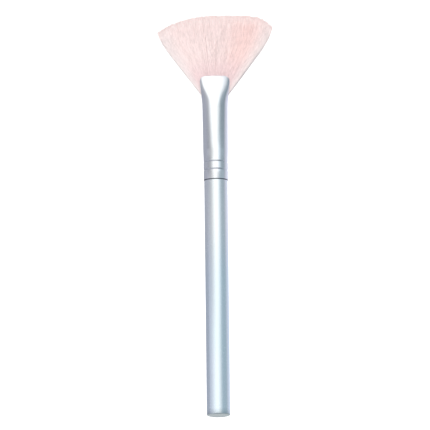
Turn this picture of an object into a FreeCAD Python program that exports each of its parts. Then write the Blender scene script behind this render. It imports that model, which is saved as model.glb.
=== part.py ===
"""Fan makeup brush: a turned wooden handle, a pressed aluminium ferrule and a hair head set in adhesive.

Millimetres. The brush lies along Y, its butt at -Y and its hair at +Y, with the flat of the fan level.
Z = 0 is the surface that it lies on, and the origin is on that surface, under the middle of the brush.
"""
import FreeCAD, Part
import Sketcher
import math
import os
from FreeCAD import Vector

os.makedirs("parts", exist_ok=True)
doc = FreeCAD.newDocument("fan_brush")

SIZES = {
    # Handle: a parallel dowel with a reduced tenon that goes up into the ferrule.
    "handle_length": 98.6,
    "handle_width": 9.68,
    "butt_round": 0.45,
    "tenon_length": 12.0,
    "tenon_lead": 0.6,
    "tenon_clearance": 0.04,
    # Ferrule: a tube, straight in its collar, swelling a little, then pressed flat towards its lip.
    "ferrule_width": 10.02,
    "wall": 0.35,
    "rim_round": 0.15,
    "collar_run": 9.4,
    "swell_run": 3.5,
    "swell_width": 10.24,
    "press_run": 30.8,
    "neck_width": 10.7,
    "neck_thickness": 8.9,
    "lip_width": 13.3,
    "lip_thickness": 4.8,
    "lip_corner": 2.3,
    "lip_straight": 1.8,
    "flare_run": 10.0,
    "flatten_run": 13.0,
    # Two rolled rings that lock the ferrule on the tenon.
    "crimp_offset": 4.3,
    "crimp_spacing": 3.3,
    "crimp_radius": 0.3,
    "crimp_depth": 0.24,
    # The slot in each side of the mouth, where the hair fans out. It leaves two plates, narrower than the oval.
    "slot_depth": 8.4,
    "slot_width": 2.4,
    "slot_corner": 0.6,
    # Adhesive: a plug on the end of the tenon, with a cup that holds the root of the hair.
    "glue_floor": 9.0,
    "glue_film": 0.4,
    "glue_clearance": 0.04,
    "cup_depth": 8.0,
    # Hair: places are measured from the lip, down to the root and up to the bend and the tips.
    "root_setback": 9.3,
    "fan_pivot": 15.1,
    "fan_slope": 0.755,
    "bend_offset": 9.7,
    "fan_curl": 0.0426,
    "hair_length": 25.7,
    "tip_drop_left": 7.0,
    "tip_drop_right": 5.2,
    "tip_taper": 2.6,
    "root_thickness": 3.9,
    "bend_thickness": 3.4,
    "tip_thickness": 2.2,
    "edge_thickness": 1.6,
    "tip_edge_thickness": 1.1,
}

# How many ovals shape the pressed part of the ferrule, and how many the cup in the adhesive.
PRESS_OVALS = 13
CUP_OVALS = 6
# An oval is two flat arcs that meet two tight ones smoothly. A tight arc's radius is half the thickness, less
# this share of what half the width has over it, and where the arcs meet then follows for every oval.
TIGHTENING = 0.15
MEETING = math.atan((1 + 2 * TIGHTENING) / (2 * TIGHTENING * (1 + TIGHTENING)))
# How far a cutter passes the face that it cuts, in millimetres.
OVERRUN = "1"

# The hair's locks: how many lie in each of the three layers, and the share of its room that each fills.
LAYERS = {-1: 33, 0: 34, 1: 33}
LOCK_FILL = 0.93
LAYER_FILL = 0.96
TIP_FILL = 0.42
# A lock's six-sided section, in shares of its half width and half height.
LOCK_OUTLINE = [(-1, 0), (-0.6, 1), (0.6, 1), (1, 0), (0.6, -1), (-0.6, -1)]
# How quickly the fan thins out from its middle, and how round its tip line is on the left and the right.
THINNING = 5
TIP_CURVE_LEFT = 2.0
TIP_CURVE_RIGHT = 5.5
# The tips end unevenly, by up to this many millimetres, in steps that never repeat.
RAGGED = 0.9
RAGGED_STEP = 0.618034

sizes = doc.addObject("Spreadsheet::Sheet", "sizes")
for row, (name, number) in enumerate(SIZES.items(), start=1):
    sizes.set(f"A{row}", name)
    sizes.set(f"B{row}", str(number))
    sizes.setAlias(f"B{row}", name)
doc.recompute()

# Expressions on the sheet: places along the brush from the ferrule's rim, half the width that each lip
# plate has left beside the slots, and the length of the whole brush.
SWELL = "(sizes.collar_run + sizes.swell_run)"
LIP = f"({SWELL} + sizes.press_run)"
CUP_FLOOR = "(sizes.tenon_length + sizes.glue_floor)"
ROOT_TOP = f"({LIP} - sizes.root_setback)"
LIP_TIGHT = f"(sizes.lip_thickness - (sizes.lip_width - sizes.lip_thickness) * {TIGHTENING}) / 2"
PLATE = f"(sizes.lip_width / 2 - {LIP_TIGHT} + sqrt(({LIP_TIGHT}) ^ 2 - (sizes.slot_width / 2) ^ 2))"
BRUSH = f"(sizes.handle_length + {LIP} + sizes.hair_length)"


def value(expression):
    """The number that an expression on the sheet gives."""
    return float(sizes.evalExpression(expression))


def eased(place, start, run):
    """An expression that rises smoothly from 0 to 1 while place goes from start through run."""
    return f"(1 - cos(180 * min(max(({place} - {start}) / ({run}); 0); 1))) / 2"


def oval_width(place):
    """The ferrule's outer width at a place: it widens slowly, then flares towards the lip."""
    slow = eased(place, SWELL, "sizes.press_run")
    flare = eased(place, f"({LIP} - sizes.lip_straight - sizes.flare_run)", "sizes.flare_run")
    return (f"(sizes.swell_width + (sizes.neck_width - sizes.swell_width) * {slow}"
            f" + (sizes.lip_width - sizes.neck_width) * {flare})")


def oval_thickness(place):
    """The ferrule's outer thickness at a place: it thins slowly, then flattens towards the lip."""
    slow = eased(place, SWELL, "sizes.press_run")
    flatten = eased(place, f"({LIP} - sizes.flatten_run)", "sizes.flatten_run")
    return (f"(sizes.swell_width - (sizes.swell_width - sizes.neck_thickness) * {slow}"
            f" - (sizes.neck_thickness - sizes.lip_thickness) * {flatten})")


def spaced(start, end, count):
    """Evenly spaced places from start to end."""
    return [f"({start} + ({end} - {start}) * {step} / {count - 1})" for step in range(count)]


PRESS_PLACES = spaced(SWELL, f"({LIP} + {OVERRUN})", PRESS_OVALS)
CUP_PLACES = spaced(CUP_FLOOR, ROOT_TOP, CUP_OVALS)


def lay_down(piece, rim):
    """Put a piece on the brush's axis, with its own origin where the expression rim says."""
    piece.setExpression("Placement.Base.y", f"{rim} - {BRUSH} / 2")
    piece.setExpression("Placement.Base.z", "max(sizes.ferrule_width; sizes.swell_width) / 2")


def new_body(name, rim):
    body = doc.addObject("PartDesign::Body", name)
    body.Label = name
    lay_down(body, rim)
    return body


def new_sketch(body, name, role):
    """A sketch on one of the body's own planes."""
    plane = next(f for f in body.Origin.OriginFeatures if f.Role == role)
    sketch = body.newObject("Sketcher::SketchObject", name)
    sketch.AttachmentSupport = [(plane, "")]
    sketch.MapMode = "FlatFace"
    return sketch


def fix(sketch, kind, parts, expression):
    """A dimension that follows an expression."""
    index = sketch.addConstraint(Sketcher.Constraint(kind, *parts, value(expression)))
    sketch.setExpression(f"Constraints[{index}]", expression)


def arc_between(start, end, radius):
    """The short arc from start to end, turning left for a positive radius and right for a negative one."""
    half = (end - start).Length / 2
    across = Vector(start.y - end.y, end.x - start.x, 0).normalize()
    reach = math.sqrt(max(radius * radius - half * half, 0))
    centre = (start + end) / 2 + across * math.copysign(reach, radius)
    first, last = (start, end) if radius > 0 else (end, start)
    angles = [math.atan2(point.y - centre.y, point.x - centre.x) for point in (first, last)]
    return Part.ArcOfCircle(Part.Circle(centre, Vector(0, 0, 1), abs(radius)), *angles)


def draw(sketch, corners):
    """Draw a closed outline. A corner is (x, y), reached by a straight line, or (x, y, radius), by an arc."""
    points = [Vector(value(corner[0]), value(corner[1]), 0) for corner in corners]
    ends = []
    for index, corner in enumerate(corners):
        start, end = points[index - 1], points[index]
        if len(corner) == 2:
            side = sketch.addGeometry(Part.LineSegment(start, end), False)
            ends.append(((side, 1), (side, 2)))
            continue
        turns_left = value(corner[2]) > 0
        side = sketch.addGeometry(arc_between(start, end, value(corner[2])), False)
        ends.append(((side, 1), (side, 2)) if turns_left else ((side, 2), (side, 1)))
        fix(sketch, "Radius", (side,), corner[2] if turns_left else f"-({corner[2]})")
    for index, corner in enumerate(corners):
        start_of_next = ends[(index + 1) % len(corners)][0]
        sketch.addConstraint(Sketcher.Constraint("Coincident", *ends[index][1], *start_of_next))
        fix(sketch, "DistanceX", (-1, 1, *start_of_next), corner[0])
        fix(sketch, "DistanceY", (-1, 1, *start_of_next), corner[1])
    return sketch


def oval_corners(place, inset):
    """The corners of the ferrule's oval at a place, inset all round, each with the radius of the arc to it."""
    half_width = f"({oval_width(place)}) / 2"
    half_thickness = f"({oval_thickness(place)}) / 2"
    excess = f"({half_width} - {half_thickness})"
    tight = f"({half_thickness} - {TIGHTENING} * {excess} - ({inset}))"
    flat = f"({half_thickness} + {(1 + 2 * TIGHTENING) / (2 * TIGHTENING)} * {excess} - ({inset}))"
    x = f"({half_width} - ({inset}) - {1 - math.cos(MEETING)} * {tight})"
    y = f"({math.sin(MEETING)} * {tight})"
    return [(x, y, tight), (f"-{x}", y, flat), (f"-{x}", f"-{y}", tight), (x, f"-{y}", flat)]


def draw_oval(sketch, place, inset):
    sketch.setExpression("AttachmentOffset.Base.z", f"-{place}")
    return draw(sketch, oval_corners(place, inset))


def spin(body, name, corners, kind="Revolution"):
    """Turn an outline about the brush's axis: x is the radius, and y the place along the axis."""
    feature_outline = draw(new_sketch(body, f"{name}_outline", "XY_Plane"), corners)
    feature = body.newObject(f"PartDesign::{kind}", name)
    feature.Profile = feature_outline
    feature.ReferenceAxis = (feature_outline, ["V_Axis"])
    feature.Angle = 360


def press(body, name, places, inset, kind="AdditiveLoft"):
    """Loft the ferrule's ovals at these places, each inset all round."""
    ovals = [
        draw_oval(new_sketch(body, f"{name}_oval_{number}", "XZ_Plane"), place, inset)
        for number, place in enumerate(places, start=1)
    ]
    feature = body.newObject(f"PartDesign::{kind}", name)
    feature.Profile = ovals[0]
    feature.Sections = ovals[1:]


def cut_through(body, name, role, corners):
    """Cut an outline right through the body, both ways from its plane."""
    feature_outline = draw(new_sketch(body, f"{name}_outline", role), corners)
    feature = body.newObject("PartDesign::Pocket", name)
    feature.Profile = feature_outline
    feature.SideType = "Symmetric"
    feature.Type = "ThroughAll"


def cut_stretch(body, name, start, end):
    """Take away all of the body between two places along the brush."""
    side = f"(sizes.lip_width / 2 + {OVERRUN})"
    cut_through(body, name, "XY_Plane", [(side, start), (side, end), (f"-{side}", end), (f"-{side}", start)])


def ringed(radius, bend, rim="0"):
    """The corners of a straight side with the two rolled rings: its radius, and that of their bends."""
    half = f"sqrt(sizes.crimp_depth * (2 * ({bend}) - sizes.crimp_depth))"
    corners = []
    for place in ("sizes.crimp_offset", "sizes.crimp_offset + sizes.crimp_spacing"):
        corners.append((radius, f"{rim} + {place} - {half}"))
        corners.append((radius, f"{rim} + {place} + {half}", f"-({bend})"))
    return corners


def build_handle():
    """One turning. The tenon's grooves match the ferrule's rolled rings, and its tip clears the swell."""
    body = new_body("handle", "0")
    radius = "sizes.handle_width / 2"
    shoulder = "sizes.handle_length"
    end = f"{shoulder} + sizes.tenon_length"
    tenon = "sizes.ferrule_width / 2 - sizes.wall - sizes.tenon_clearance"
    tip = "min(sizes.ferrule_width; sizes.swell_width) / 2 - sizes.wall - sizes.tenon_clearance"
    spin(body, "turning", [
        ("0", "0"),
        (f"{radius} - sizes.butt_round", "0"),
        (radius, "sizes.butt_round", "sizes.butt_round"),
        (radius, shoulder),
        (tenon, shoulder),
        *ringed(tenon, "sizes.crimp_radius + sizes.wall + sizes.tenon_clearance", shoulder),
        (tenon, f"{shoulder} + sizes.collar_run"),
        (tip, f"{end} - sizes.tenon_lead"),
        (f"{tip} - sizes.tenon_lead", end),
        ("0", end),
    ])
    return body


def build_ferrule():
    """The outside is turned and pressed, then the bore follows it one wall inside."""
    body = new_body("ferrule", "sizes.handle_length")
    collar, swell = "sizes.ferrule_width / 2", "sizes.swell_width / 2"
    spin(body, "collar", [
        ("0", "0"),
        (f"{collar} - sizes.rim_round", "0"),
        (collar, "sizes.rim_round", "sizes.rim_round"),
        *ringed(collar, "sizes.crimp_radius"),
        (collar, "sizes.collar_run"),
        (swell, SWELL),
        ("0", SWELL),
    ])
    press(body, "mouth", PRESS_PLACES, "0")
    bore = f"{collar} - sizes.wall"
    spin(body, "bore", [
        ("0", f"-{OVERRUN}"),
        (bore, f"-{OVERRUN}"),
        *ringed(bore, "sizes.crimp_radius + sizes.wall"),
        (bore, "sizes.collar_run"),
        (f"{swell} - sizes.wall", SWELL),
        ("0", SWELL),
    ], "Groove")
    press(body, "throat", PRESS_PLACES, "sizes.wall", "SubtractiveLoft")
    trim_lip(body)
    cut_slots(body)
    return body


def trim_lip(body):
    """Trim the mouth to its lip, with rounded corners."""
    corner = "sizes.lip_corner"
    start = f"{LIP} - {corner}"
    outside = f"(sizes.lip_width / 2 + {OVERRUN})"
    beyond = f"{LIP} + 2 * {OVERRUN}"
    cut_through(body, "lip_trim", "XY_Plane", [
        (outside, start),
        (outside, beyond),
        (f"-{outside}", beyond),
        (f"-{outside}", start),
        (f"-{PLATE}", start),
        (f"{corner} - {PLATE}", LIP, f"-{corner}"),
        (f"{PLATE} - {corner}", LIP),
        (PLATE, start, f"-{corner}"),
    ])


def cut_slots(body):
    """Cut the slot in each side of the mouth, in one pass across it."""
    side = "(sizes.slot_width / 2)"
    corner = "sizes.slot_corner"
    bottom = f"{LIP} - sizes.slot_depth"
    beyond = f"{LIP} + {OVERRUN}"
    cut_through(body, "side_slots", "YZ_Plane", [
        (f"{bottom} + {corner}", f"-{side}", corner),
        (beyond, f"-{side}"),
        (beyond, side),
        (f"{bottom} + {corner}", side),
        (bottom, f"{side} - {corner}", corner),
        (bottom, f"{corner} - {side}"),
    ])


def build_glue_plug():
    """The adhesive fills the ferrule from the end of the tenon, and rises round the root of the hair."""
    body = new_body("glue_plug", "sizes.handle_length")
    inset = "(sizes.wall + sizes.glue_clearance)"
    collar = f"sizes.ferrule_width / 2 - {inset}"
    spin(body, "core", [
        ("0", "0"),
        (collar, "0"),
        (collar, "sizes.collar_run"),
        (f"sizes.swell_width / 2 - {inset}", SWELL),
        ("0", SWELL),
    ])
    press(body, "fill", PRESS_PLACES, inset)
    press(body, "cup", CUP_PLACES, "sizes.wall + sizes.glue_film", "SubtractiveLoft")
    cut_stretch(body, "foot", f"-{OVERRUN}", "sizes.tenon_length")
    cut_stretch(body, "top", f"{CUP_FLOOR} + sizes.cup_depth", f"{LIP} + 2 * {OVERRUN}")
    return body


def oval_wire(place, inset):
    """The ferrule's oval at a place as a wire across the brush, inset all round."""
    corners = oval_corners(place, inset)
    points = [Vector(value(x), value(y), 0) for x, y, radius in corners]
    sides = [
        arc_between(points[index - 1], points[index], value(radius)).toShape()
        for index, (x, y, radius) in enumerate(corners)
    ]
    wire = Part.Wire(sides)
    wire.rotate(Vector(), Vector(1, 0, 0), 90)
    wire.translate(Vector(0, value(place), 0))
    return wire


def flat_face(points):
    return Part.Face(Part.makePolygon(points + points[:1]))


def lock_skin(sections):
    """The sides and the tip of a lock. A slanted side twists from one section to the next, so it is split."""
    faces = [flat_face(sections[-1])]
    for lower, upper in zip(sections, sections[1:]):
        for side in range(len(LOCK_OUTLINE)):
            after = (side + 1) % len(LOCK_OUTLINE)
            if LOCK_OUTLINE[side][1] == LOCK_OUTLINE[after][1]:
                faces.append(flat_face([lower[side], lower[after], upper[after], upper[side]]))
            else:
                faces.append(flat_face([lower[side], lower[after], upper[after]]))
                faces.append(flat_face([lower[side], upper[after], upper[side]]))
    return faces


class Fan:
    """The shape of the hair's fan. A place across it is a share, from -1 at its left edge to 1."""

    def __init__(self):
        self.root = value(ROOT_TOP)
        self.bend = value(f"{LIP} + sizes.bend_offset")
        self.pivot = value(f"{LIP} - sizes.fan_pivot")
        self.slope = value("sizes.fan_slope")
        self.curl = value("sizes.fan_curl")
        self.tip = value(f"{LIP} + sizes.hair_length")
        self.tip_taper = value("sizes.tip_taper")
        self.tip_drops = value("sizes.tip_drop_left"), value("sizes.tip_drop_right")
        # The fan's thickness along its middle, and along its edges.
        self.root_middle, self.bend_middle, self.tip_middle = (
            value(f"sizes.{place}_thickness") for place in ("root", "bend", "tip")
        )
        self.edge, self.tip_edge = value("sizes.edge_thickness"), value("sizes.tip_edge_thickness")

    def half_width(self, y):
        """It spreads evenly up to its bend, and curls inwards a little above it."""
        return (y - self.pivot) * self.slope - self.curl * max(y - self.bend, 0) ** 2 / 2

    def tip_at(self, across):
        left, right = self.tip_drops
        if across < 0:
            return self.tip - left * abs(across) ** TIP_CURVE_LEFT
        return self.tip - right * across ** TIP_CURVE_RIGHT

    def section(self, across, layer, width_share, y, middle, edge):
        """One section of a lock, across the brush."""
        centre = across * self.half_width(y)
        half_width = self.half_width(y) * width_share
        half_thickness = (edge + (middle - edge) * (1 - across ** 2) ** THINNING) / 2
        rise = half_thickness * layer * 2 / 3
        half_height = half_thickness / 3 * LAYER_FILL
        return [Vector(centre + a * half_width, y, rise + b * half_height) for a, b in LOCK_OUTLINE]

    def lock(self, layer, index, count):
        """The sections of one lock, from the root block to its own tip."""
        across = (2 * index + 1) / count - 1
        end = self.tip_at(across) - RAGGED * ((index * RAGGED_STEP + layer / 3) % 1)
        taper = end - self.tip_taper
        halfway = (self.bend + taper) / 2
        halfway_middle = (self.bend_middle + self.tip_middle) / 2
        halfway_edge = (self.edge + self.tip_edge) / 2
        full, narrow = LOCK_FILL / count, TIP_FILL / count
        return [
            self.section(across, layer, full, self.root, self.root_middle, self.edge),
            self.section(across, layer, full, self.bend, self.bend_middle, self.edge),
            self.section(across, layer, full, halfway, halfway_middle, halfway_edge),
            self.section(across, layer, full, taper, self.tip_middle, self.tip_edge),
            self.section(across, layer, narrow, end, self.tip_middle, self.tip_edge),
        ]


def build_hair():
    """The glued root and its locks are one skin: the root's top face is left open under each lock."""
    inset = "sizes.wall + sizes.glue_film + sizes.glue_clearance"
    root = Part.makeLoft([oval_wire(place, inset) for place in CUP_PLACES], True)
    top = max(root.Faces, key=lambda face: face.CenterOfMass.y)
    skin = [face for face in root.Faces if not face.isSame(top)]
    fan = Fan()
    feet = []
    for layer, count in LAYERS.items():
        for index in range(count):
            sections = fan.lock(layer, index, count)
            feet.append(Part.makePolygon(sections[0] + sections[0][:1]))
            skin += lock_skin(sections)
    skin.append(Part.makeFace([top.OuterWire] + feet, "Part::FaceMakerBullseye"))
    shell = Part.makeShell(skin)
    shell.sewShape()
    hair = doc.addObject("Part::Feature", "hair_bundle")
    hair.Label = "hair_bundle"
    hair.Shape = Part.makeSolid(shell)
    lay_down(hair, "sizes.handle_length")
    return hair


pieces = [build_handle(), build_ferrule(), build_glue_plug(), build_hair()]
doc.recompute()

for item in doc.Objects:
    if "Invalid" in item.State or "Error" in item.State:
        raise RuntimeError(f"{item.Label} did not build: {item.State}")
for piece in pieces:
    shape = piece.Shape
    if shape.isNull() or not shape.isValid() or len(shape.Solids) != 1 or shape.Volume <= 0:
        raise RuntimeError(f"{piece.Label} is not one valid solid")
    shape.exportStep(f"parts/{piece.Label}.step")
    print(f"{piece.Label}: {shape.Volume:.1f} mm3, {len(shape.Faces)} faces")
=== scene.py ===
"""A fan makeup brush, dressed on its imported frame.

Metres, in the frame's own axes: the brush lies along Y with its hair at +Y, and the floor is at Z = 0.
The hair's sizes are in millimetres, and MM turns them into metres.
"""
import math

import bmesh
import bpy
import numpy as np
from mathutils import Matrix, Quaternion, Vector


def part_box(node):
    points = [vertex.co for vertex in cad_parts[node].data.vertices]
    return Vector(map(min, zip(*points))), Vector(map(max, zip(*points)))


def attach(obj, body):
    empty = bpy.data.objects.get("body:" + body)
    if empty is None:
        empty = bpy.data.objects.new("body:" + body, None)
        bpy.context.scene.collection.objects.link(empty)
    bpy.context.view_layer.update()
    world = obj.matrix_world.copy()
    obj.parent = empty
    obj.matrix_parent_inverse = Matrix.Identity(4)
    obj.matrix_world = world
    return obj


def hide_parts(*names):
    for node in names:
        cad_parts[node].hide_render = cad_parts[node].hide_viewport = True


MM = 0.001

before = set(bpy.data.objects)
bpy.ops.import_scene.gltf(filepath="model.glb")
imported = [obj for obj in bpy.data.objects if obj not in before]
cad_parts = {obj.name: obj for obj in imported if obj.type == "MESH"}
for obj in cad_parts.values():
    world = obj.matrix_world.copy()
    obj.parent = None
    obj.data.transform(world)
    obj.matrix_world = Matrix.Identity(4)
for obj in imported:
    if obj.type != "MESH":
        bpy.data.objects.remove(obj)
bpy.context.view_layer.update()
handle_low, handle_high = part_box("handle")
ferrule_low, ferrule_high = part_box("ferrule")

# Places along Y where the parts meet, and the height of the brush's axis.
BUTT = handle_low.y
TENON_END = handle_high.y
RIM = ferrule_low.y
LIP = ferrule_high.y
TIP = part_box("hair_bundle")[1].y
AXIS = (handle_low.z + handle_high.z) / 2

# The turned handle.
HANDLE_RADIUS = (handle_high.z - handle_low.z) / 2
BUTT_ROUND = 0.45 * MM
BUTT_STEPS = 6
TENON_RADIUS = 4.62 * MM
TENON_LEAD = 0.6 * MM
TURNING_STEPS = 128

# Edges that turn by more than this stay crisp.
ARRIS = math.radians(35)

# Corners that lie this close to each other become one: of the turned handle, the ferrule and the hair's body.
HANDLE_WELD, FERRULE_WELD, CORE_WELD = 1e-7, 2e-6, 1e-8

# Where along Y the lacquer pales towards its head, and the painted shade that greys it at shares of a length
# from the butt.
PALING = (-30 * MM, 0.0)
BUTT_PAINTED_SHADE_LENGTH = 2.6 * MM
BUTT_PAINTED_SHADE = ((0.0, 1.0), (0.02, 0.7), (0.16, 0.7), (0.25, 0.76), (1.0, 1.0))

# Painted shade on the ferrule's collar. The seam's fades with the distance from the rim.
# The two rings' grows with the depth below the collar's radius and the height from the axis, and ends at a
# distance from the rim.
COLLAR_RADIUS = 5.0 * MM
SEAM_FADE = (0.12 * MM, 0.3 * MM)
RING_DEPTHS = (0.06 * MM, 0.2 * MM)
RINGS_END = (9.0 * MM, 9.4 * MM)
RING_HEIGHTS = (3.4 * MM, 4.6 * MM)

# The fan. Places along it are from the ferrule's lip, and a place across it is a share of its half width.
FAN_PIVOT = 15.1
FAN_SLOPE = 0.755
FAN_BEND = 9.7
FAN_CURL = 0.0426
HAIR_ROOT = -20.0
HAIR_THROAT = -9.3
HAIR_LENGTH = (TIP - LIP) / MM
TIP_DROP_LEFT, TIP_DROP_RIGHT = 7.0, 5.2
TIP_CURVE_LEFT, TIP_CURVE_RIGHT = 2.0, 5.5
ROOT_THICKNESS, BEND_THICKNESS, TIP_THICKNESS = 3.9, 3.4, 2.2
ROOT_EDGE, TIP_EDGE = 1.6, 1.1
THINNING = 5

# The soft locks that the hair gathers in: how uneven their widths are, the spread of how far short of the
# tip line they end, and how much and from where their hairs draw together towards the tips.
LOCKS = 120
LOCK_SEED = 10
LOCK_UNEVENNESS = 0.3
LOCK_DROPS = (1.5, 0.16)
GATHER, GATHER_START, GATHER_CURVE = 0.4, 2.0, 1.5

# The body of the hair under the loose ones: its columns and rows, how far short of the tips it ends
# and over what length it closes, how much of the fan it fills, and how rounded and ridged it is.
CORE_SEED = 20
CORE_COLUMNS, CORE_ROWS = 720, 30
CORE_SHORT = 1.1
CORE_CLOSING = 2.0
CORE_FILL = 0.94
CORE_INSET = 0.15
CORE_ROUNDING = 24
CORE_RIDGE = 0.03

# A loose hair: the shares of its length where it has points, and its thickness there. The longest reach
# beyond the tip line. Each leans a little, and sways more and more up to a length from the throat.
HAIR_RADIUS = 0.055
HAIR_STEPS = (0.0, 0.3, 0.52, 0.7, 0.86, 0.95, 1.0)
HAIR_TAPER = (1.0, 1.0, 1.0, 0.95, 0.8, 0.55, 0.15)
THICKNESS_SPREAD = (0.8, 1.15)
TIP_REACH = 0.5
HAIR_DROPS = (1.1, 0.62)
HAIR_LEAN = 0.011
HAIR_SWAY, SWAY_LENGTH = 0.05, 10
SWAY_ACROSS, SWAY_UP = 2.6, 3.1

# The layers of loose hair: each one's number of hairs, the shares of the fan's half thickness that it lies
# between, the place where it starts, and its seed.
HAIR_LAYERS = (
    ("hair_upper", 3400, (0.84, 1.03), HAIR_THROAT + 0.5, 11),
    ("hair_under", 3400, (-1.03, -0.84), HAIR_THROAT + 0.5, 12),
    ("hair_tips_upper", 3000, (0.0, 0.85), 14.0, 13),
    ("hair_tips_under", 3000, (-0.85, 0.0), 14.0, 14),
)


def linear(red, green, blue):
    """A colour as seen on a screen, from 0 to 255, as the numbers that a shader takes."""
    shares = (channel / 255 for channel in (red, green, blue))
    straight = (share / 12.92 if share <= 0.04045 else ((share + 0.055) / 1.055) ** 2.4 for share in shares)
    return (*straight, 1.0)


def link_object(name, data):
    """A new object in the scene."""
    piece = bpy.data.objects.new(name, data)
    bpy.context.scene.collection.objects.link(piece)
    return piece


def shaped(name, shape, finish):
    """A bmesh as a piece in one finish."""
    mesh = bpy.data.meshes.new(name)
    shape.to_mesh(mesh)
    shape.free()
    mesh.materials.append(finish)
    return link_object(name, mesh)


# Nodes that the finishes share. Their values are plain numbers and colours, or other nodes' outputs.

def feed(tree, socket, value):
    """Gives a socket its value, or links another node's output to it."""
    if isinstance(value, bpy.types.NodeSocket):
        tree.links.new(value, socket)
    else:
        socket.default_value = value


def add_node(tree, kind, *values, **named):
    """A node. Values feed its sockets in order. A name is a socket's, or in small letters a setting's."""
    node = tree.nodes.new(f"ShaderNode{kind}")
    for name, value in named.items():
        if name.islower():
            setattr(node, name, value)
    for index, value in enumerate(values):
        feed(tree, node.inputs[index], value)
    for name, value in named.items():
        if not name.islower():
            feed(tree, node.inputs[name], value)
    return node


def own_place(tree):
    """Where a spot is, in its piece's own axes."""
    return add_node(tree, "TexCoord").outputs["Object"]


def split(tree, vector):
    """A vector's X, Y and Z."""
    return add_node(tree, "SeparateXYZ", vector).outputs


def stretched(tree, vector, factors):
    """A vector with each of its parts multiplied."""
    return add_node(tree, "VectorMath", vector, factors, operation="MULTIPLY").outputs[0]


def calculate(tree, operation, *numbers):
    """One sum on one or two numbers."""
    return add_node(tree, "Math", *numbers, operation=operation).outputs[0]


def product(tree, first, *others):
    """Numbers multiplied together."""
    for other in others:
        first = calculate(tree, "MULTIPLY", first, other)
    return first


def ranged(tree, value, low, high, start=0.0, end=1.0):
    """A number that goes evenly from start to end while the value goes from low to high."""
    return add_node(tree, "MapRange", value, low, high, start, end).outputs[0]


def eased(tree, value, low, high, start=0.0, end=1.0):
    """The same with a soft start and end."""
    node = add_node(tree, "MapRange", value, low, high, start, end, interpolation_type="SMOOTHSTEP")
    return node.outputs[0]


def mixed(tree, share, first, second, blend="MIX"):
    """Two colours blended."""
    node = add_node(tree, "Mix", data_type="RGBA", blend_type=blend, Factor=share)
    feed(tree, node.inputs[6], first)
    feed(tree, node.inputs[7], second)
    return node.outputs[2]


def graded(tree, value, stops, blend="LINEAR"):
    """Colours at shares of a number between 0 and 1."""
    ramp = add_node(tree, "ValToRGB", value)
    ramp.color_ramp.interpolation = blend
    elements = ramp.color_ramp.elements
    while len(elements) < len(stops):
        elements.new(1.0)
    for element, (share, colour) in zip(elements, stops):
        element.position, element.color = share, (*colour, 1.0)
    return ramp.outputs["Color"]


def plain(level):
    """A grey."""
    return (level,) * 3


def new_group(name, inputs, outputs):
    """An empty node group. Inputs are (name, kind, value), and outputs (name, kind)."""
    group = bpy.data.node_groups.new(name, "ShaderNodeTree")
    for label, kind, value in inputs:
        socket = group.interface.new_socket(label, in_out="INPUT", socket_type=f"NodeSocket{kind}")
        socket.default_value = value
    for label, kind in outputs:
        group.interface.new_socket(label, in_out="OUTPUT", socket_type=f"NodeSocket{kind}")
    return group, group.nodes.new("NodeGroupInput").outputs, group.nodes.new("NodeGroupOutput").inputs


def colour_drift_group():
    """Soft drifts between two colours, stretched along the brush."""
    group, inputs, outputs = new_group(
        "colour_drift",
        [("First", "Color", (1, 1, 1, 1)), ("Second", "Color", (1, 1, 1, 1)), ("Scale", "Float", 60.0),
         ("Stretch", "Float", 0.35)],
        [("Color", "Color")],
    )
    factors = add_node(group, "CombineXYZ", 1.0, inputs["Stretch"], 1.0).outputs[0]
    drawn_out = stretched(group, own_place(group), factors)
    noise = add_node(group, "TexNoise", Vector=drawn_out, Scale=inputs["Scale"], Detail=3.0).outputs["Fac"]
    drift = mixed(group, ranged(group, noise, 0.35, 0.65), inputs["First"], inputs["Second"])
    group.links.new(drift, outputs["Color"])
    return group


def fine_lines_group():
    """Fine lines of a surface that was turned or drawn, as a height."""
    group, inputs, outputs = new_group(
        "fine_lines",
        [("Across", "Float", 400.0), ("Along", "Float", 9000.0)],
        [("Height", "Float")],
    )
    factors = add_node(group, "CombineXYZ", inputs["Across"], inputs["Along"], inputs["Across"]).outputs[0]
    drawn_out = stretched(group, own_place(group), factors)
    noise = add_node(group, "TexNoise", Vector=drawn_out, Scale=1.0, Detail=2.0).outputs["Fac"]
    group.links.new(noise, outputs["Height"])
    return group


def ring_shade_group():
    """Masks for painted shade: the dark seam at the ferrule's rim, and the bottom of its two rings."""
    group, inputs, outputs = new_group(
        "ring_shade",
        [("Rim", "Float", RIM), ("Axis", "Float", AXIS), ("Radius", "Float", COLLAR_RADIUS)],
        [("Seam", "Float"), ("Rings", "Float")],
    )
    place = split(group, own_place(group))
    from_rim = calculate(group, "SUBTRACT", place["Y"], inputs["Rim"])
    seam = eased(group, calculate(group, "ABSOLUTE", from_rim), *SEAM_FADE, 1.0, 0.0)
    group.links.new(seam, outputs["Seam"])

    above = calculate(group, "SUBTRACT", place["Z"], inputs["Axis"])
    spot = add_node(group, "CombineXYZ", X=place["X"], Z=above).outputs[0]
    radius = add_node(group, "VectorMath", spot, operation="LENGTH").outputs["Value"]
    deep = eased(group, calculate(group, "SUBTRACT", inputs["Radius"], radius), *RING_DEPTHS)
    near = ranged(group, from_rim, *RINGS_END, 1.0, 0.0)
    crest = eased(group, calculate(group, "ABSOLUTE", above), *RING_HEIGHTS, 0.3, 1.0)
    group.links.new(product(group, deep, near, crest), outputs["Rings"])
    return group


COLOUR_DRIFT = colour_drift_group()
RING_SHADE = ring_shade_group()
FINE_LINES = fine_lines_group()


# Finishes.

# The painted shade in the seam where the handle meets the ferrule's rim.
SEAM_SHADE_COLOUR = linear(110, 114, 124)


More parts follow.
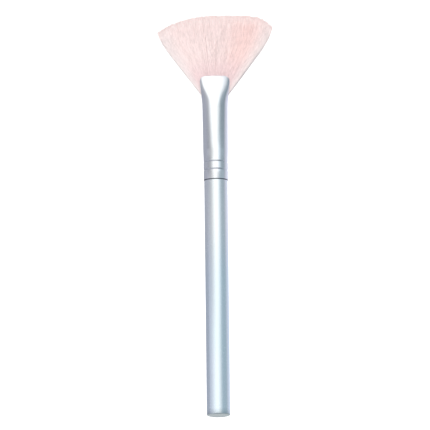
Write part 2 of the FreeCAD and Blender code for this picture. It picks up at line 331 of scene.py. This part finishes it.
def new_finish(name, **values):
    """A material with the values that are the same all over, its tree, and its shader's sockets by name.

    Underscores stand for spaces.
    """
    finish = bpy.data.materials.new(name)
    finish.use_nodes = True
    shader = finish.node_tree.nodes["Principled BSDF"]
    for socket, value in values.items():
        shader.inputs[socket.replace("_", " ")].default_value = value
    return finish, finish.node_tree, shader.inputs


def drifting(tree, first, second, scale, stretch):
    """Two colours that drift into each other over a piece."""
    return add_node(tree, "Group", node_tree=COLOUR_DRIFT, First=first, Second=second, Scale=scale,
                    Stretch=stretch).outputs["Color"]


def bump(tree, height, strength, distance):
    """The normal of a surface with a fine relief."""
    return add_node(tree, "Bump", Height=height, Strength=strength, Distance=distance).outputs["Normal"]


def pearl_lacquer():
    """Satin pearl over wood: silver blue that drifts to teal and pales at its head, with a fine flake."""
    finish, tree, shader = new_finish(
        "pearl_lacquer", Metallic=0.95, Coat_Weight=0.2, Coat_Roughness=0.12, Coat_IOR=1.5,
    )
    place = own_place(tree)
    along = split(tree, place)["Y"]
    drift = drifting(tree, linear(231, 241, 250), linear(226, 243, 248), 55.0, 0.4)
    pearl = mixed(tree, eased(tree, along, *PALING), drift, linear(241, 247, 249))
    flake = add_node(tree, "TexVoronoi", Vector=place, Scale=5200.0).outputs["Distance"]
    sparkle = mixed(tree, 1.0, pearl, ranged(tree, flake, 0.0, 1.0, 0.94, 1.04), "MULTIPLY")
    # Painted shade greys the lacquer round the butt's edge.
    end = ranged(tree, along, BUTT, BUTT + BUTT_PAINTED_SHADE_LENGTH)
    butt_painted_shade = graded(tree, end, [(share, plain(level)) for share, level in BUTT_PAINTED_SHADE])
    butt_shaded = mixed(tree, 1.0, sparkle, butt_painted_shade, "MULTIPLY")
    # Painted shade darkens the lacquer in the seam at the ferrule's rim.
    seam = add_node(tree, "Group", node_tree=RING_SHADE).outputs["Seam"]
    feed(tree, shader["Base Color"], mixed(tree, seam, butt_shaded, SEAM_SHADE_COLOUR))
    feed(tree, shader["Roughness"], ranged(tree, flake, 0.0, 1.0, 0.2, 0.28))
    feed(tree, shader["Normal"], bump(tree, flake, 0.06, 0.02 * MM))
    return finish


def drawn_aluminium():
    """Satin aluminium with the fine rings that polishing a turned tube leaves."""
    finish, tree, shader = new_finish("drawn_aluminium", Metallic=1.0, Anisotropic=0.25)
    drift = drifting(tree, linear(244, 245, 248), linear(240, 244, 246), 70.0, 0.5)
    # Painted shade at the bottom of the two rings and in the seam at the rim.
    shade = add_node(tree, "Group", node_tree=RING_SHADE).outputs
    ringed = mixed(tree, shade["Rings"], drift, linear(196, 199, 206))
    feed(tree, shader["Base Color"], mixed(tree, shade["Seam"], ringed, SEAM_SHADE_COLOUR))
    lines = add_node(tree, "Group", node_tree=FINE_LINES, Across=120.0, Along=14000.0).outputs["Height"]
    feed(tree, shader["Roughness"], ranged(tree, lines, 0.3, 0.7, 0.15, 0.21))
    feed(tree, shader["Normal"], bump(tree, lines, 0.03, 0.03 * MM))
    return finish


def cured_adhesive():
    """Clear amber adhesive, a little cloudy."""
    finish, tree, shader = new_finish("cured_adhesive", Roughness=0.22, Coat_Weight=0.3)
    drift = drifting(tree, linear(226, 198, 140), linear(205, 172, 112), 300.0, 1.0)
    feed(tree, shader["Base Color"], drift)
    return finish


def pink_hair():
    """Fine synthetic hair: pale pink, mauve at the root, greyer at the fan's edges, deeper on its right."""
    finish, tree, shader = new_finish(
        "pink_hair", Roughness=0.5, Sheen_Weight=0.25, Sheen_Roughness=0.5, Specular_IOR_Level=0.35,
        Emission_Strength=0.12,
    )
    along, across, tone = (
        add_node(tree, "Attribute", attribute_name=name).outputs["Fac"]
        for name in ("along", "across", "tone")
    )
    body = mixed(tree, eased(tree, across, 0.05, 0.6), linear(255, 236, 234), linear(255, 226, 222))
    rooted = mixed(tree, eased(tree, along, 0.42, 0.68, 1.0, 0.0), body, linear(246, 221, 222))
    edge = eased(tree, calculate(tree, "ABSOLUTE", across), 0.6, 1.0, 0.0, 0.9)
    edged = mixed(tree, edge, rooted, linear(246, 235, 234))

    # Painted shadow: a broken grey line of shade follows the fan's right edge from the ferrule nearly to the
    # tips.
    spot = add_node(tree, "CombineXYZ", X=across, Y=along).outputs[0]
    drawn_out = stretched(tree, spot, (150.0, 26.0, 1.0))
    dashes = add_node(tree, "TexNoise", Vector=drawn_out, Scale=1.0, Detail=1.0).outputs["Fac"]
    below_tips = eased(tree, along, 0.7, 0.92, 1.0, 0.0)
    right_edge_shadow = eased(tree, across, 0.93, 1.0, 0.0, 0.8)
    line = product(tree, below_tips, right_edge_shadow, ranged(tree, dashes, 0.35, 0.55, 0.45, 1.0))
    edge_shadowed = mixed(tree, line, edged, linear(196, 190, 192))

    # Paler at the tips, partly the hair's own colour and partly painted light that lifts the shade among the
    # thin tips.
    tip = eased(tree, along, 0.88, 0.99, 0.0, 0.75)
    tipped = mixed(tree, tip, edge_shadowed, linear(255, 241, 239))
    dash = ranged(tree, dashes, 0.3, 0.7, 0.86, 1.08)
    shade = product(tree, dash, ranged(tree, tone, 0.0, 1.0, 0.94, 1.02))
    toned = mixed(tree, 1.0, tipped, shade, "MULTIPLY")
    feed(tree, shader["Base Color"], toned)

    # Painted light: the tips glow a little, standing in for the light that thin tips let through.
    feed(tree, shader["Emission Color"], mixed(tree, tip, (0.0, 0.0, 0.0, 1.0), toned))
    return finish


# The handle and the ferrule.

def finished(name, shape, finish):
    """A smooth piece from a bmesh, with its arrises kept, on the brush's one body."""
    for face in shape.faces:
        face.smooth = True
    for edge in shape.edges:
        edge.smooth = not (edge.is_manifold and edge.calc_face_angle(0) > ARRIS)
    piece = shaped(name, shape, finish)
    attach(piece, "root")
    return piece


def turn_handle(finish):
    """The handle's outline, spun about the brush's axis: the round-edged butt, the shaft and the tenon."""
    turns = [step * math.pi / (2 * BUTT_STEPS) for step in range(BUTT_STEPS + 1)]
    places = [
        (0.0, BUTT),
        (HANDLE_RADIUS / 2, BUTT),
        *((HANDLE_RADIUS - BUTT_ROUND * (1 - math.sin(turn)), BUTT + BUTT_ROUND * (1 - math.cos(turn)))
          for turn in turns),
        (HANDLE_RADIUS, (BUTT + RIM) / 2),
        (HANDLE_RADIUS, RIM),
        (TENON_RADIUS, RIM),
        (TENON_RADIUS, TENON_END - TENON_LEAD),
        (TENON_RADIUS - TENON_LEAD, TENON_END),
        (0.0, TENON_END),
    ]
    outline = bmesh.new()
    corners = [outline.verts.new((radius, y, AXIS)) for radius, y in places]
    sides = [outline.edges.new(pair) for pair in zip(corners, corners[1:])]
    bmesh.ops.spin(
        outline, geom=corners + sides, cent=(0, 0, AXIS), axis=(0, 1, 0), angle=math.tau,
        steps=TURNING_STEPS, use_merge=True, use_duplicate=False,
    )
    bmesh.ops.remove_doubles(outline, verts=outline.verts, dist=HANDLE_WELD)
    bmesh.ops.recalc_face_normals(outline, faces=outline.faces)
    piece = finished("turned_handle", outline, finish)
    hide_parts("handle")


def polish_ferrule(finish):
    """The ferrule's own shape with its loose triangles merged, so that it shades smoothly."""
    shape = bmesh.new()
    shape.from_mesh(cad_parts["ferrule"].data)
    bmesh.ops.remove_doubles(shape, verts=shape.verts, dist=FERRULE_WELD)
    piece = finished("polished_ferrule", shape, finish)
    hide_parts("ferrule")


# The hair.

def fan_half_width(place):
    """Half the fan's width: even up to its bend, and curling inwards a little above it."""
    return (place + FAN_PIVOT) * FAN_SLOPE - FAN_CURL * np.maximum(place - FAN_BEND, 0) ** 2 / 2


def fan_half_thickness(place, across):
    """Half the fan's thickness, which falls towards its tips and its edges."""
    bends = (HAIR_THROAT, FAN_BEND, HAIR_LENGTH)
    middle = np.interp(place, bends, (ROOT_THICKNESS, BEND_THICKNESS, TIP_THICKNESS))
    edge = np.interp(place, bends[1:], (ROOT_EDGE, TIP_EDGE))
    return (edge + (middle - edge) * (1 - across ** 2) ** THINNING) / 2


def tip_line(across):
    """How far from the lip the fan ends, which is less towards its left and its right."""
    left = TIP_DROP_LEFT * np.abs(across) ** TIP_CURVE_LEFT
    right = TIP_DROP_RIGHT * np.abs(across) ** TIP_CURVE_RIGHT
    return HAIR_LENGTH - np.where(across < 0, left, right)


def lock_pattern():
    """Where the locks' edges are, and each one's tone and how much shorter than the tip line it is."""
    random = np.random.default_rng(LOCK_SEED)
    edges = np.linspace(-1, 1, LOCKS + 1) + random.normal(0, LOCK_UNEVENNESS / LOCKS, LOCKS + 1)
    return edges, random.uniform(0, 1, LOCKS), random.gamma(*LOCK_DROPS, LOCKS)


LOCK_EDGES, LOCK_TONE, LOCK_DROP = lock_pattern()


def in_lock(across):
    """The lock that a place across the fan is in."""
    return np.clip(np.searchsorted(LOCK_EDGES, across) - 1, 0, LOCKS - 1)


def mark(mesh, **values):
    """Numbers for each vertex, which the hair's finish reads."""
    for label, numbers in values.items():
        layer = mesh.attributes.new(label, "FLOAT", "POINT")
        layer.data.foreach_set("value", np.asarray(numbers, np.float32))


def hair_piece(name, mesh, finish):
    """A mesh as one of the pieces that stand for the hair's solid."""
    mesh.shade_smooth()
    mesh.materials.clear()
    mesh.materials.append(finish)
    piece = link_object(name, mesh)
    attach(piece, "root")
    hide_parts("hair_bundle")


def pack_core(finish):
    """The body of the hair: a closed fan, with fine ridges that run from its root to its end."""
    random = np.random.default_rng(CORE_SEED)
    shape = bmesh.new()
    bmesh.ops.create_grid(shape, x_segments=CORE_COLUMNS, y_segments=CORE_ROWS, size=1)
    spot = np.array([vertex.co[:] for vertex in shape.verts])
    column = np.rint((spot[:, 0] + 1) / 2 * CORE_COLUMNS).astype(int) % CORE_COLUMNS
    share = (spot[:, 1] + 1) / 2

    # The columns run over the fan from its left to its right, and back under it.
    turn = column / CORE_COLUMNS
    over = turn < 0.5
    across = np.where(over, 4 * turn - 1, 3 - 4 * turn)
    ridge = random.normal(0, 1, CORE_COLUMNS)[column]
    end = tip_line(across) - LOCK_DROP[in_lock(across)] - CORE_SHORT
    place = HAIR_ROOT + (end - HAIR_ROOT) * share
    held = np.clip(place, HAIR_THROAT, None)
    closing = np.sqrt(np.clip(1 - (np.clip(place - end + CORE_CLOSING, 0, None) / CORE_CLOSING) ** 2, 0, 1))
    rounded = np.sqrt(np.clip(1 - np.abs(across) ** CORE_ROUNDING, 0, 1))
    height = (fan_half_thickness(held, across) * CORE_FILL + CORE_RIDGE * ridge) * rounded * closing
    x = across * (fan_half_width(held) - CORE_INSET)
    z = np.where(over, height, -height)
    for vertex, *at in zip(shape.verts, x * MM, LIP + place * MM, AXIS + z * MM):
        vertex.co = at

    # Each vertex keeps its number, since merging drops some.
    order = shape.verts.layers.int.new("order")
    for index, vertex in enumerate(shape.verts):
        vertex[order] = index
    bmesh.ops.remove_doubles(shape, verts=shape.verts, dist=CORE_WELD)
    bmesh.ops.holes_fill(shape, edges=[edge for edge in shape.edges if edge.is_boundary])
    bmesh.ops.recalc_face_normals(shape, faces=shape.faces)
    kept = [vertex[order] for vertex in shape.verts]
    mesh = bpy.data.meshes.new("hair_core")
    shape.to_mesh(mesh)
    shape.free()
    tone = np.clip(0.5 + 0.16 * ridge + 0.3 * (LOCK_TONE[in_lock(across)] - 0.5), 0, 1)
    mark(mesh, along=share[kept], across=across[kept], tone=tone[kept])
    hair_piece("hair_core", mesh, finish)


def strand_mesh(name, points, radii):
    """One mesh of thin square rods through rows of points, each with its share of the hair's radius."""
    curve = bpy.data.curves.new(name, "CURVE")
    curve.dimensions = "3D"
    curve.bevel_depth = HAIR_RADIUS * MM
    curve.bevel_resolution = 0
    for hair, radius in zip(points, radii):
        spline = curve.splines.new("POLY")
        spline.points.add(len(radius) - 1)
        spline.points.foreach_set("co", hair.ravel())
        spline.points.foreach_set("radius", radius)
    strands = bpy.data.objects.new(name, curve)
    mesh = bpy.data.meshes.new_from_object(strands)
    bpy.data.objects.remove(strands)
    mesh.name = name
    return mesh


def comb_hair(name, count, layer, start, seed, finish):
    """Loose hairs between two shares of the fan's half thickness, tapered, and gathered in soft locks."""
    random = np.random.default_rng(seed)
    across = (np.arange(count) + random.uniform(0, 1, count)) / count * 2 - 1
    level = random.uniform(*layer, count)
    lock = in_lock(across)
    drop = LOCK_DROP[lock] + random.gamma(*HAIR_DROPS, count)
    lean = random.normal(0, HAIR_LEAN, count) * (1 - across ** 2)
    wave = random.uniform(0, math.tau, count)

    end = tip_line(across) + TIP_REACH - drop
    place = start + (end[:, None] - start) * np.array(HAIR_STEPS)
    held = np.clip(place, HAIR_THROAT, None)
    out = np.clip(place - HAIR_THROAT, 0, None)

    # Each hair draws towards the middle of its own lock.
    lock_middle = (LOCK_EDGES[lock] + LOCK_EDGES[lock + 1]) / 2
    gather = GATHER * np.clip((held - GATHER_START) / HAIR_LENGTH, 0, 1) ** GATHER_CURVE
    at = across[:, None] + (lock_middle - across)[:, None] * gather
    sway = HAIR_SWAY * np.clip(out / SWAY_LENGTH, 0, 1)
    x = at * (fan_half_width(held) - HAIR_RADIUS) + lean[:, None] * out
    x = x + sway * np.sin(wave[:, None] + place / SWAY_ACROSS)
    z = level[:, None] * fan_half_thickness(held, at) + sway * np.cos(wave[:, None] + place / SWAY_UP)
    points = np.stack([x * MM, LIP + place * MM, AXIS + z * MM, np.ones_like(x)], axis=2)
    radii = np.array(HAIR_TAPER) * random.uniform(*THICKNESS_SPREAD, count)[:, None]
    mesh = strand_mesh(name, points, radii)

    around = len(mesh.vertices) // place.size
    along = (place - HAIR_ROOT) / (end[:, None] - HAIR_ROOT)
    tone = np.clip(0.45 * LOCK_TONE[lock] + 0.55 * random.uniform(0, 1, count), 0, 1)
    mark(
        mesh,
        along=np.repeat(along.ravel(), around),
        across=np.repeat(across, around * len(HAIR_STEPS)),
        tone=np.repeat(tone, around * len(HAIR_STEPS)),
    )
    hair_piece(name, mesh, finish)


def build_hair(finish):
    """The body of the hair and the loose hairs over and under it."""
    pack_core(finish)
    for layer in HAIR_LAYERS:
        comb_hair(*layer, finish)


# The studio.

WHITE_PAPER = (0.86, 0.86, 0.86, 1.0)
FLOOR_HALF = 6.0
FLOOR_GLOW = 0.65
WORLD_LEVEL = 0.85
LAMP_PLACE = (0.0, 0.5, 1.6)
LAMP_SIZE = (0.95, 3.0)
LAMP_POWER = 13.5

# The tent of light round the brush, and its bars of light at shares of its radius towards the hair: the
# degrees from straight up where each is dark and bright on its left, and bright and dark on its right, and
# then how bright its left and right stay.
TENT_RADIUS = 0.5
TENT_BRIGHT = 1.22
TENT_BARS = (
    (0.06, -80, -12, -6, 52, 0.64, 0.46),
    (0.12, -39, 6, 15, 55, 0.59, 0.48),
    (0.18, -46, -4, 12, 62, 0.51, 0.44),
    (0.215, -56, -14, 20, 64, 0.26, 0.38),
    (0.28, -70, -20, 3, 48, 0.48, 0.3),
    (0.5, -56, -27, 18, 37, 0.46, 0.47),
)

# Its tints, at shares of a half turn from the brush's left to its right.
LILAC, WHITE, TEAL = (0.95, 0.97, 1.13), (1.0, 1.0, 1.0), (0.84, 1.0, 1.13)
TENT_TINTS = ((0.0, LILAC), (0.35, WHITE), (0.6, WHITE), (0.75, TEAL))

# Its two dim ends: where along the brush each starts and is full, how far they reach to the sides, and
# their colours at shares of the tent's height.
TENT_END_REACHES = ((0.84, 0.94), (-0.35, -0.6))
TENT_END_WIDTH = (0.35, 0.65)
TENT_ENDS = ((0.0, (0.62, 0.64, 0.68)), (0.2, (0.55, 0.57, 0.61)), (0.42, (0.24, 0.26, 0.29)))

# The card on the tent's floor, which shows the floor's shade as painted shade: its levels at shares of a half
# turn about CARD_LINE above it, from left to right, with a painted shadow under the brush, and its grey
# colour beyond the butt, which it takes on over CARD_CHANGE.
CARD_HEIGHT = 0.1 * MM
CARD_LINE = 0.02
CARD_SIDES = (
    (0.0, 0.43), (0.44, 0.42), (0.46, 0.2), (0.54, 0.2),
    (0.56, 0.8), (0.62, 0.84), (0.94, 0.47), (1.0, 0.44),
)
CARD_BEYOND = (0.52, 0.53, 0.53, 1.0)
CARD_CHANGE = 0.3 * MM


def square(name, finish, half, height=0.0):
    """A flat square sheet."""
    sheet = bmesh.new()
    corners = ((-half, -half), (half, -half), (half, half), (-half, half))
    sheet.faces.new([sheet.verts.new((x, y, height)) for x, y in corners])
    return shaped(name, sheet, finish)


def seen_directly(tree):
    """1 for rays from the camera, and for those that metal or glass sends on."""
    rays = add_node(tree, "LightPath").outputs
    first = calculate(tree, "MAXIMUM", rays["Is Camera Ray"], rays["Is Glossy Ray"])
    return calculate(tree, "MAXIMUM", first, rays["Is Transmission Ray"])


def white_floor():
    """A white floor that keeps the brush's soft shadow."""
    paper, tree, shader = new_finish("white_paper", Base_Color=WHITE_PAPER, Roughness=0.9,
                                     Specular_IOR_Level=0.0, Emission_Color=(1, 1, 1, 1))
    feed(tree, shader["Emission Strength"], product(tree, seen_directly(tree), FLOOR_GLOW))
    floor = square("floor", paper, FLOOR_HALF)


def bright_world():
    """A white world, which gives a little less light than it shows."""
    world = bpy.data.worlds.new("studio")
    bpy.context.scene.world = world
    world.use_nodes = True
    tree = world.node_tree
    sky = tree.nodes["Background"].inputs
    feed(tree, sky["Color"], (1, 1, 1, 1))
    feed(tree, sky["Strength"], ranged(tree, seen_directly(tree), 0.0, 1.0, WORLD_LEVEL, 1.0))


def overhead_lamp():
    """One wide soft lamp that looks at the brush."""
    light = bpy.data.lights.new("overhead", "AREA")
    light.shape = "RECTANGLE"
    light.size, light.size_y = LAMP_SIZE
    light.energy = LAMP_POWER
    lamp = link_object("overhead", light)
    lamp.location = LAMP_PLACE
    lamp.rotation_mode = "QUATERNION"
    lamp.rotation_quaternion = (-Vector(LAMP_PLACE)).to_track_quat("-Z", "Y")
    lamp.visible_camera = lamp.visible_glossy = False


def new_card(name):
    """A finish that has only a light of its own, its tree, and the socket for its colour."""
    paper = bpy.data.materials.new(name)
    paper.use_nodes = True
    tree = paper.node_tree
    tree.nodes.remove(tree.nodes["Principled BSDF"])
    light = add_node(tree, "Emission", Strength=1.0)
    tree.links.new(light.outputs[0], tree.nodes["Material Output"].inputs["Surface"])
    return paper, tree, light.inputs["Color"]


def reflect_only(sheet):
    """Only the brush's shine sees this sheet."""
    sheet.visible_camera = sheet.visible_diffuse = sheet.visible_shadow = False


def half_turn(tree, across, up):
    """0 at the brush's left, a half straight up, and 1 at its right."""
    angle = calculate(tree, "ARCTAN2", across, up)
    return ranged(tree, angle, -math.pi / 2, math.pi / 2)


def light_bar(tree, turn, left_dark, left_bright, right_bright, right_dark, left_level, right_level):
    """A bright bar along the brush between two darker sides, with soft edges."""
    levels = (
        (left_dark, left_level), (left_bright, TENT_BRIGHT),
        (right_bright, TENT_BRIGHT), (right_dark, right_level),
    )
    return graded(tree, turn, [(degrees / 180 + 0.5, plain(level)) for degrees, level in levels], "EASE")


def all_bars(tree, turn, along):
    """The tent's bars of light, each passing softly into the next."""
    (before, *bar), *others = TENT_BARS
    level = light_bar(tree, turn, *bar)
    for place, *bar in others:
        toward = eased(tree, along, before * TENT_RADIUS, place * TENT_RADIUS)
        level = mixed(tree, toward, level, light_bar(tree, turn, *bar))
        before = place
    return level


def light_tent():
    """The tent round the brush: bright above, greyer down its sides and dim at its ends."""
    paper, tree, colour = new_card("light_tent")
    place = split(tree, own_place(tree))
    turn = half_turn(tree, place["X"], place["Z"])
    sides = mixed(tree, 1.0, all_bars(tree, turn, place["Y"]), graded(tree, turn, TENT_TINTS), "MULTIPLY")
    far, near = (
        eased(tree, place["Y"], start * TENT_RADIUS, full * TENT_RADIUS) for start, full in TENT_END_REACHES
    )
    beside = calculate(tree, "ABSOLUTE", place["X"])
    middle = eased(tree, beside, *(share * TENT_RADIUS for share in TENT_END_WIDTH), 1.0, 0.0)
    dim = product(tree, calculate(tree, "ADD", far, near), middle)
    height = ranged(tree, place["Z"], 0.0, TENT_RADIUS)
    feed(tree, colour, mixed(tree, dim, sides, graded(tree, height, TENT_ENDS)))

    tent = bmesh.new()
    bmesh.ops.create_uvsphere(tent, u_segments=64, v_segments=32, radius=TENT_RADIUS)
    below = [vertex for vertex in tent.verts if vertex.co.z < -MM]
    bmesh.ops.delete(tent, geom=below, context="VERTS")
    reflect_only(shaped("light_tent", tent, paper))


def tent_floor():
    """The tent's floor as the brush's shine sees it, in painted shade: grey to its left, dark under it, pale
    close to its right.
    """
    paper, tree, colour = new_card("tent_floor")
    place = split(tree, own_place(tree))
    turn = half_turn(tree, place["X"], CARD_LINE)
    sides = graded(tree, turn, [(share, [level * part for part in LILAC]) for share, level in CARD_SIDES])
    beyond = ranged(tree, place["Y"], BUTT, BUTT - CARD_CHANGE)
    feed(tree, colour, mixed(tree, beyond, sides, CARD_BEYOND))
    reflect_only(square("tent_floor", paper, TENT_RADIUS, CARD_HEIGHT))


def light_studio():
    """The plain white studio and the tent that the brush's shine sees."""
    white_floor()
    bright_world()
    overhead_lamp()
    light_tent()
    tent_floor()


# The camera stands far off with a long lens, so that the brush keeps its proportions from end to end.
CAMERA_DISTANCE = 6.0
CAMERA_ELEVATION = math.radians(80)
CAMERA_ROLL = math.radians(0.66)
CAMERA_TARGET = Vector((-0.53 * MM, 0.1 * MM, AXIS))
SENSOR_WIDTH = 36
LENS = 202.25 * CAMERA_DISTANCE


def set_camera():
    """From above the brush's butt, looking down on it, as the photograph does."""
    camera = bpy.data.cameras.new("camera")
    camera.sensor_width = SENSOR_WIDTH
    camera.lens = LENS
    camera.dof.use_dof = False
    eye = link_object("camera", camera)
    back = Vector((0, -math.cos(CAMERA_ELEVATION), math.sin(CAMERA_ELEVATION)))
    eye.location = CAMERA_TARGET + back * CAMERA_DISTANCE
    eye.rotation_mode = "QUATERNION"
    eye.rotation_quaternion = (-back).to_track_quat("-Z", "Y") @ Quaternion((0, 0, 1), -CAMERA_ROLL)
    bpy.context.scene.camera = eye


turn_handle(pearl_lacquer())
polish_ferrule(drawn_aluminium())
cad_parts["glue_plug"].material_slots[0].material = cured_adhesive()
build_hair(pink_hair())
light_studio()
set_camera()
bpy.context.scene.view_settings.view_transform = "Standard"
